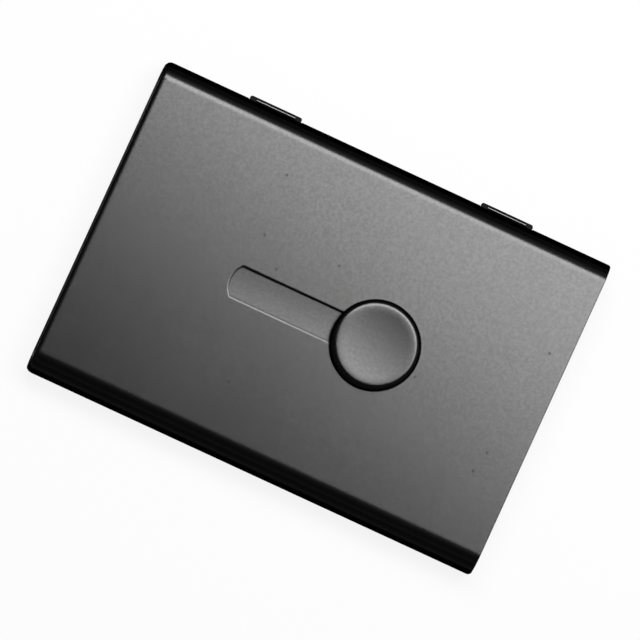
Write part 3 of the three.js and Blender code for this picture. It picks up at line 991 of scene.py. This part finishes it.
def turned(profile: list[Point], steps: int) -> Mesh:
    """Turns a profile about Z.

    Args:
        profile: Radii and levels that start and end on the axis.
        steps: How many steps go round.

    Returns:
        The closed mesh.
    """
    bm = bmesh.new()
    rings = []
    for radius, level in profile:
        if radius == 0:
            rings.append([bm.verts.new((0, 0, level))] * steps)
            continue
        circle = arc((0, 0), radius, 0, 2 * math.pi, steps)[:-1]
        rings.append([bm.verts.new((x, y, level)) for x, y in circle])
    for low, high in zip(rings, rings[1:]):
        for i in range(steps):
            corners = list(dict.fromkeys((low[i - 1], low[i], high[i], high[i - 1])))
            if len(corners) > 2:
                bm.faces.new(corners)
    return bm


@dataclass
class ThumbDisc:
    """The dished disc that the thumb moves, its crest rolling over into a round rim."""

    lift: float = 0.2 * MM
    rim_round: float = 1.3 * MM
    dish_slope: float = math.radians(2.15)
    steepest: float = 0.83
    hub_share: float = 0.6
    foot_round: float = 0.12 * MM
    dish_steps: int = 28
    rim_steps: int = 22
    foot_steps: int = 4
    steps: int = 180

    def build(self, case: CaseSize) -> None:
        """Turns the disc and sets it over the slot.

        Args:
            case: The case's outer form.
        """
        low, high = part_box("thumb_disc")
        radius = (high.x - low.x) / 2
        face = case.middle + case.radius
        base = face + self.lift
        profile = [(0, low.z), (self.hub_share * radius, low.z), (self.hub_share * radius, base)]
        foot = (radius - self.foot_round, base + self.foot_round)
        profile += arc(foot, self.foot_round, -QUARTER_TURN, 0, self.foot_steps)
        crest = radius - self.rim_round
        rim = (crest, high.z - self.rim_round)
        profile += arc(rim, self.rim_round, 0, QUARTER_TURN, self.rim_steps)
        for share in evenly(1, 0, self.dish_steps)[1:]:
            profile.append((crest * share, high.z - crest * (self.rise(1) - self.rise(share))))
        bm = turned(profile, self.steps)
        centre = ((low.x + high.x) / 2, (low.y + high.y) / 2, 0)
        bmesh.ops.translate(bm, vec=centre, verts=bm.verts)
        node = "thumb_disc"
        piece = Piece(f"{node}_turning", DISC_FINISH, Body.SLIDER, (node,), DISC_STEEP_SHADED_COPY)
        piece.publish(bm)

    def rise(self, share: float) -> float:
        """How high the dish has risen from its middle.

        Args:
            share: How far out the place is, 1 at the crest.

        Returns:
            The rise, as a share of the crest's radius.
        """
        slope = math.tan(self.dish_slope)
        if share <= self.steepest:
            return slope * share**2 / self.steepest / 2
        left = 1 - self.steepest
        turn = QUARTER_TURN * (share - self.steepest) / left
        return slope * (self.steepest / 2 + left / QUARTER_TURN * math.sin(turn))


@dataclass
class SoftenedPart:
    """A piece that keeps its solid's form, with its long edges rounded as a tool leaves them."""

    node: str
    suffix: str
    finish: Finish
    body: Body
    rounding: float = 0.12 * MM
    shortest: float = 2.5 * MM
    merge: float = 0.5 * MICRON
    flat: float = math.radians(1)
    segments: int = 3

    def build(self, frame: dict[str, Any]) -> None:
        """Copies the solid's mesh, and rounds the sharp edges that are long enough.

        Args:
            frame: The loaded frame.
        """
        bm = bmesh.new()
        bm.from_mesh(frame["nodes"][self.node].data)
        bmesh.ops.remove_doubles(bm, verts=bm.verts, dist=self.merge)
        bmesh.ops.dissolve_limit(bm, angle_limit=self.flat, verts=bm.verts, edges=bm.edges)
        self.shape(bm)
        weight = bm.edges.layers.float.new(BEVEL_WEIGHT)
        for edge in bm.edges:
            long_enough = edge.calc_length() >= self.shortest
            if long_enough and edge.is_manifold and edge.calc_face_angle() > SHARP_ANGLE:
                edge[weight] = 1.0
        piece = Piece(f"{self.node}_{self.suffix}", self.finish, self.body, (self.node,))
        piece.publish(bm, self.rounding, self.segments)

    def shape(self, bm: Mesh) -> None:
        """Changes the form before the edges are rounded; a plain part keeps it."""


@dataclass
class EaredLiner(SoftenedPart):
    """The cover's liner, whose hinge ears are rounded off at their outer ends."""

    half_hinge: float = 8 * MM
    taper: float = 0.45 * MM
    tip_share: float = 0.35
    reach_share: float = 1.01
    depth_slack: float = 0.01
    cuts: int = 6

    def shape(self, bm: Mesh) -> None:
        """Cuts each ear's outer end into slices, and draws them in towards the hinge's axis.

        Args:
            bm: The liner's mesh.
        """
        for low, high in pin_boxes():
            middle, axis = (low.x + high.x) / 2, (low.y + high.y) / 2
            past_axis = [v.co.x for v in bm.verts if v.co.y > axis]
            ear = [x for x in past_axis if abs(x - middle) < self.half_hinge]
            self.round_end(bm, axis, min(ear), 1)
            self.round_end(bm, axis, max(ear), -1)

    def round_end(self, bm: Mesh, axis: float, end: float, inward: int) -> None:
        """Rounds one end.

        Args:
            bm: The liner's mesh.
            axis: Where the hinge's axis is across the case.
            end: The end's place along the case.
            inward: The direction along the case, 1 or -1, that goes into the ear.
        """
        for i in range(1, self.cuts + 1):
            faces = [f for f in bm.faces if self.near(f, axis, end)]
            edges = {e for f in faces for e in f.edges}
            verts = {v for f in faces for v in f.verts}
            place = (end + inward * self.taper * (i / self.cuts) ** 2, 0, 0)
            cut(bm, [*verts, *edges, *faces], place, (1, 0, 0))
        for vertex in bm.verts:
            depth = (vertex.co.x - end) * inward / self.taper
            if vertex.co.y > axis and -self.depth_slack < depth < 1:
                share = math.sqrt(max(0.0, 1 - (1 - max(0.0, depth)) ** 2))
                drawn_in = self.tip_share + (1 - self.tip_share) * share
                vertex.co.y = axis + (vertex.co.y - axis) * drawn_in

    def near(self, face: bmesh.types.BMFace, axis: float, end: float) -> bool:
        """Whether a face reaches past the hinge's axis close to an ear's end."""
        away = min(abs(v.co.x - end) for v in face.verts)
        return max(v.co.y for v in face.verts) > axis and away < self.taper * self.reach_share


@dataclass
class HookedTray(SoftenedPart):
    """The card tray, whose hinge hooks reach close to the ears on either side of them."""

    reach: float = 0.06 * MM
    end_zone: float = 2.0 * MM

    def shape(self, bm: Mesh) -> None:
        """Moves the faces at each hook's ends outwards.

        Args:
            bm: The tray's mesh.
        """
        for low, high in pin_boxes():
            middle = (low.x + high.x) / 2
            for vertex in bm.verts:
                offset = vertex.co.x - middle
                to_pin_end = high.x - middle - abs(offset)
                if vertex.co.y > low.y + self.reach and 0 < to_pin_end < self.end_zone:
                    vertex.co.x += math.copysign(self.reach, offset)


@dataclass
class TroughedPlate(SoftenedPart):
    """The push plate, whose top sinks a little along the slot, so that it catches the light."""

    rounding: float = 0.08 * MM
    shortest: float = 0.5 * MM
    trough_half_width: float = 4.4 * MM
    trough_offset: float = 1.2 * MM
    trough_slope: float = math.radians(1.3)
    cuts: int = 14

    def shape(self, bm: Mesh) -> None:
        """Cuts the plate into strips along the trough, and lowers their edges on its top.

        Args:
            bm: The plate's mesh.
        """
        low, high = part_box(self.node)
        middle = (low.y + high.y) / 2 + self.trough_offset
        half = self.trough_half_width
        for y in evenly(middle - half, middle + half, self.cuts):
            cut(bm, [*bm.verts, *bm.edges, *bm.faces], (0, y, 0), (0, 1, 0))
        depth = half * math.tan(self.trough_slope) / 2
        for vertex in bm.verts:
            share = abs(vertex.co.y - middle) / half
            if vertex.co.z > high.z - MICRON and share < 1:
                vertex.co.z -= depth * (1 - share**2)


@dataclass
class SlideStem(SoftenedPart):
    """The stem between the plate and the disc, with its short edges eased too."""

    rounding: float = 0.1 * MM
    shortest: float = 0.2 * MM


@dataclass
class PusherBracket(SoftenedPart):
    """The bent bracket behind the cards, with finely eased edges."""

    rounding: float = 0.1 * MM


@dataclass
class LeafSpring:
    """A bowed strip that presses the cards up, with rounded ends."""

    side: str
    tab: float = 7.0 * MM
    toe: float = 2.0 * MM
    thickness: float = 0.2 * MM
    corner: float = 1.4 * MM
    tip_share: float = 0.12
    rounding: float = 0.05 * MM
    bow_steps: int = 48
    corner_steps: int = 6

    def build(self) -> None:
        """Makes the strip as a curved sheet with thickness and eased edges."""
        node = f"leaf_spring_{self.side}"
        low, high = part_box(node)
        length = high.x - low.x
        middle = (low.y + high.y) / 2
        half = (high.y - low.y) / 2
        bm = bmesh.new()
        weight = bm.edges.layers.float.new(BEVEL_WEIGHT)
        rows = []
        for x in self.stations(length):
            level = low.z + self.lift(x, length, high.z - low.z - self.thickness)
            reach = half - self.corner + self.corner_width(x, length)
            row = [(reach, 0), (reach, self.thickness), (-reach, self.thickness), (-reach, 0)]
            rows.append([bm.verts.new((low.x + x, middle + y, level + z)) for y, z in row])
        for here, there in zip(rows, rows[1:]):
            for i in range(len(here)):
                bm.faces.new((here[i - 1], here[i], there[i], there[i - 1]))
                bm.edges.get((here[i], there[i]))[weight] = 1.0
        bm.faces.new(rows[0])
        bm.faces.new(rows[-1])
        Piece(f"{node}_strip", SPRING_FINISH, Body.BASE, (node,)).publish(bm, self.rounding, 2)

    def stations(self, length: float) -> list[float]:
        """The places along the strip where it has a section, close together at its round corners.

        Args:
            length: The strip's length.

        Returns:
            Distances from its start.
        """
        angles = evenly(0, QUARTER_TURN, self.corner_steps)
        corner = [self.corner * (1 - math.cos(angle)) for angle in angles]
        bow = evenly(self.tab, length - self.toe, self.bow_steps)
        return corner + bow + [length - x for x in reversed(corner)]

    def lift(self, x: float, length: float, rise: float) -> float:
        """How high the strip stands at a place along it."""
        share = min(1.0, max(0.0, (x - self.tab) / (length - self.tab - self.toe)))
        return rise * (1 - math.cos(2 * math.pi * share)) / 2

    def corner_width(self, x: float, length: float) -> float:
        """How much of its corner radius the strip has reached across it."""
        left = (self.corner - min(x, length - x, self.corner)) / self.corner
        return self.corner * (math.sqrt(1 - left**2) if left < 1 else self.tip_share)


@dataclass
class HingePin:
    """A drawn and blackened pin with eased ends."""

    side: str
    ease: float = 0.06 * MM
    ease_steps: int = 3
    steps: int = 36

    def build(self) -> None:
        """Turns the pin and lays it along the hinge's axis."""
        node = f"hinge_pin_{self.side}"
        low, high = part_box(node)
        half, radius = (high.x - low.x) / 2, (high.z - low.z) / 2
        end = arc((radius - self.ease, half - self.ease), self.ease, 0, QUARTER_TURN, self.ease_steps)
        profile = [(0, -half)] + [(r, -z) for r, z in reversed(end)] + end + [(0, half)]
        bm = turned(profile, self.steps)
        bmesh.ops.rotate(bm, matrix=Matrix.Rotation(QUARTER_TURN, 3, "Y"), verts=bm.verts)
        bmesh.ops.translate(bm, vec=(low + high) / 2, verts=bm.verts)
        Piece(f"{node}_rod", PIN_FINISH, Body.COVER, (node,)).publish(bm)


@dataclass
class KeptParts:
    """Small fasteners and springs whose solids are shown as they are, with a finish."""

    finish: Finish
    nodes: tuple[str, ...]

    def dress(self, frame: dict[str, Any]) -> None:
        """Gives each node its finish.

        Args:
            frame: The loaded frame.
        """
        for node in self.nodes:
            materials = frame["nodes"][node].data.materials
            materials.clear()
            materials.append(self.finish.material())
            LOG.info("dressed %s in %s", node, self.finish.name)


@dataclass(frozen=True)
class Studio:
    """One soft light over the hinge side, and a dim surround that is lighter near the horizon."""

    direction: float = math.radians(86.2)
    height: float = math.radians(68.9)
    distance: float = 441 * MM
    width: float = 436 * MM
    depth: float = 220 * MM
    roll: float = math.radians(15.1)
    radiance: float = 8.04
    overhead: float = 0.03
    horizon: float = 0.32
    change: Point = (0.25, 0.72)

    def build(self) -> None:
        """Hangs the light and sets the surround."""
        self.hang_softbox()
        self.set_surround()

    def hang_softbox(self) -> None:
        """Hangs the light, aimed at the case."""
        away = Vector((
            math.cos(self.height) * math.cos(self.direction),
            math.cos(self.height) * math.sin(self.direction),
            math.sin(self.height),
        ))
        lamp = bpy.data.lights.new("softbox", "AREA")
        lamp.shape = "RECTANGLE"
        lamp.size, lamp.size_y = self.width, self.depth
        lamp.energy = self.radiance * math.pi * self.width * self.depth
        softbox = bpy.data.objects.new("softbox", lamp)
        across = (-away).cross(Vector((0, 0, 1))).normalized() * -1
        other = away.cross(across)
        aim = Matrix((across, other, away)).transposed().to_4x4()
        place = Matrix.Translation(away * self.distance)
        softbox.matrix_world = place @ aim @ Matrix.Rotation(-self.roll, 4, "Z")
        bpy.context.scene.collection.objects.link(softbox)

    def set_surround(self) -> None:
        """Sets the surround, which changes with the height of the direction looked in."""
        world = bpy.data.worlds.new("surround")
        world.use_nodes = True
        graph = NodeGraph(world.node_tree)
        direction = graph.add("ShaderNodeTexCoord").outputs["Generated"]
        upward = graph.add("ShaderNodeSeparateXYZ", {0: direction}).outputs["Z"]
        strength = graph.remap(upward, self.change, (self.horizon, self.overhead))
        background = graph.add("ShaderNodeBackground", {"Color": grey(1.0), "Strength": strength})
        graph.add("ShaderNodeOutputWorld", {"Surface": background.outputs[0]})
        bpy.context.scene.world = world


@dataclass(frozen=True)
class Floor:
    """A plain pale floor under the case."""

    reach: float = 2.0
    drop: float = 0.05 * MM
    squares: int = 8
    tone: float = 0.86
    roughness: float = 0.9
    white_share: float = 0.88

    def build(self) -> None:
        """Lays the floor just under the case."""
        bm = bmesh.new()
        level = Matrix.Translation((0, 0, -self.drop))
        squares = {"x_segments": self.squares, "y_segments": self.squares}
        bmesh.ops.create_grid(bm, size=self.reach, matrix=level, **squares)
        mesh = bpy.data.meshes.new("floor")
        bm.to_mesh(mesh)
        bm.free()
        floor = bpy.data.objects.new("floor", mesh)
        bpy.context.scene.collection.objects.link(floor)
        mesh.materials.append(self.material())

    def material(self) -> bpy.types.Material:
        """Makes the floor's material.

        Returns:
            A material that is nearly white with a soft shadow from above, and clear from below.
        """
        material = bpy.data.materials.new("pale_floor")
        material.use_nodes = True
        graph = NodeGraph(material.node_tree)
        matt = {"Base Color": grey(self.tone), "Roughness": self.roughness}
        shader = graph.add("ShaderNodeBsdfPrincipled", matt)
        white = graph.add("ShaderNodeEmission", {"Color": grey(1.0), "Strength": 1.0})
        share = graph.calc("MULTIPLY", graph.looked_at(), self.white_share)
        above = {0: share, 1: shader.outputs[0], 2: white.outputs[0]}
        both = graph.add("ShaderNodeMixShader", above)
        clear = graph.add("ShaderNodeBsdfTransparent")
        below = graph.add("ShaderNodeNewGeometry").outputs["Backfacing"]
        either = {0: below, 1: both.outputs[0], 2: clear.outputs[0]}
        surface = graph.add("ShaderNodeMixShader", either)
        graph.add("ShaderNodeOutputMaterial", {"Surface": surface.outputs[0]})
        return material


@dataclass(frozen=True)
class Viewpoint:
    """The camera, nearly overhead, with the case turned clockwise in its frame."""

    distance: float = 2.5
    to_latch: float = math.radians(4.0)
    to_mouth: float = math.radians(4.0)
    turn: float = math.radians(24.62)
    frame_width: float = 122.22 * MM
    aim_right: float = 0.284 * MM
    aim_down: float = 0.397 * MM
    nearest: float = 10 * MM

    def build(self, case: CaseSize) -> None:
        """Places the camera and makes it the scene's own.

        Args:
            case: The case's outer form.
        """
        back = Vector((-math.sin(self.to_mouth), -math.sin(self.to_latch), 1)).normalized()
        up = Vector((-math.sin(self.turn), math.cos(self.turn), 0))
        up = (up - back * up.dot(back)).normalized()
        right = up.cross(back)
        target = Vector((0, 0, case.middle)) + right * self.aim_right - up * self.aim_down
        data = bpy.data.cameras.new("camera")
        data.sensor_fit = "HORIZONTAL"
        data.angle = 2 * math.atan(self.frame_width / 2 / self.distance)
        data.clip_start = self.nearest
        camera = bpy.data.objects.new("camera", data)
        turn = Matrix((right, up, back)).transposed().to_4x4()
        camera.matrix_world = Matrix.Translation(target + back * self.distance) @ turn
        bpy.context.scene.collection.objects.link(camera)
        bpy.context.scene.camera = camera


def softened_parts() -> Iterable[SoftenedPart]:
    """The mouldings, plates and brackets whose solids only need eased edges.

    Returns:
        Each part in turn.
    """
    yield EaredLiner("cover_liner", "moulding", FRAME_FINISH, Body.COVER)
    yield HookedTray("card_tray", "moulding", FRAME_FINISH, Body.BASE)
    slide = (SLIDE_FINISH, Body.SLIDER)
    yield TroughedPlate("push_plate", "sheet", *slide)
    yield SlideStem("slide_stem", "block", *slide)
    yield PusherBracket("pusher", "bracket", *slide)


def kept_parts() -> Iterable[KeptParts]:
    """The screws, rivets and small springs, by their finish.

    Returns:
        The parts of each finish in turn.
    """
    screws = [f"slide_screw_{side}" for side in HINGES]
    leaf_rivets = [f"leaf_rivet_{side}_{end}" for side in LONG_SIDES for end in ("outer", "inner")]
    pusher_rivets = [f"pusher_rivet_{side}" for side in LONG_SIDES]
    yield KeptParts(FASTENER_FINISH, (*screws, *leaf_rivets, *pusher_rivets))
    yield KeptParts(SPRING_FINISH, tuple(f"brake_spring_{side}" for side in LONG_SIDES))
    yield KeptParts(GLIDE_FINISH, ("disc_glide_ring",))


def main() -> None:
    """Builds the case's pieces around the frame, then the stage, the light and the camera."""
    logging.basicConfig(level=logging.INFO, format="%(name)s: %(message)s")
    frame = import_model()
    case = CaseSize.read()
    Viewpoint().build(case)
    PressedShell("front_shell", Body.COVER, Facing.UP, case).build()
    PressedShell("back_shell", Body.BASE, Facing.DOWN, case).build()
    ThumbDisc().build(case)
    for part in softened_parts():
        part.build(frame)
    for side in LONG_SIDES:
        LeafSpring(side).build()
    for side in HINGES:
        HingePin(side).build()
    for parts in kept_parts():
        parts.dress(frame)
    Floor().build()
    Studio().build()
    bpy.context.scene.view_settings.view_transform = "Standard"


if __name__ == "__main__":
    main()
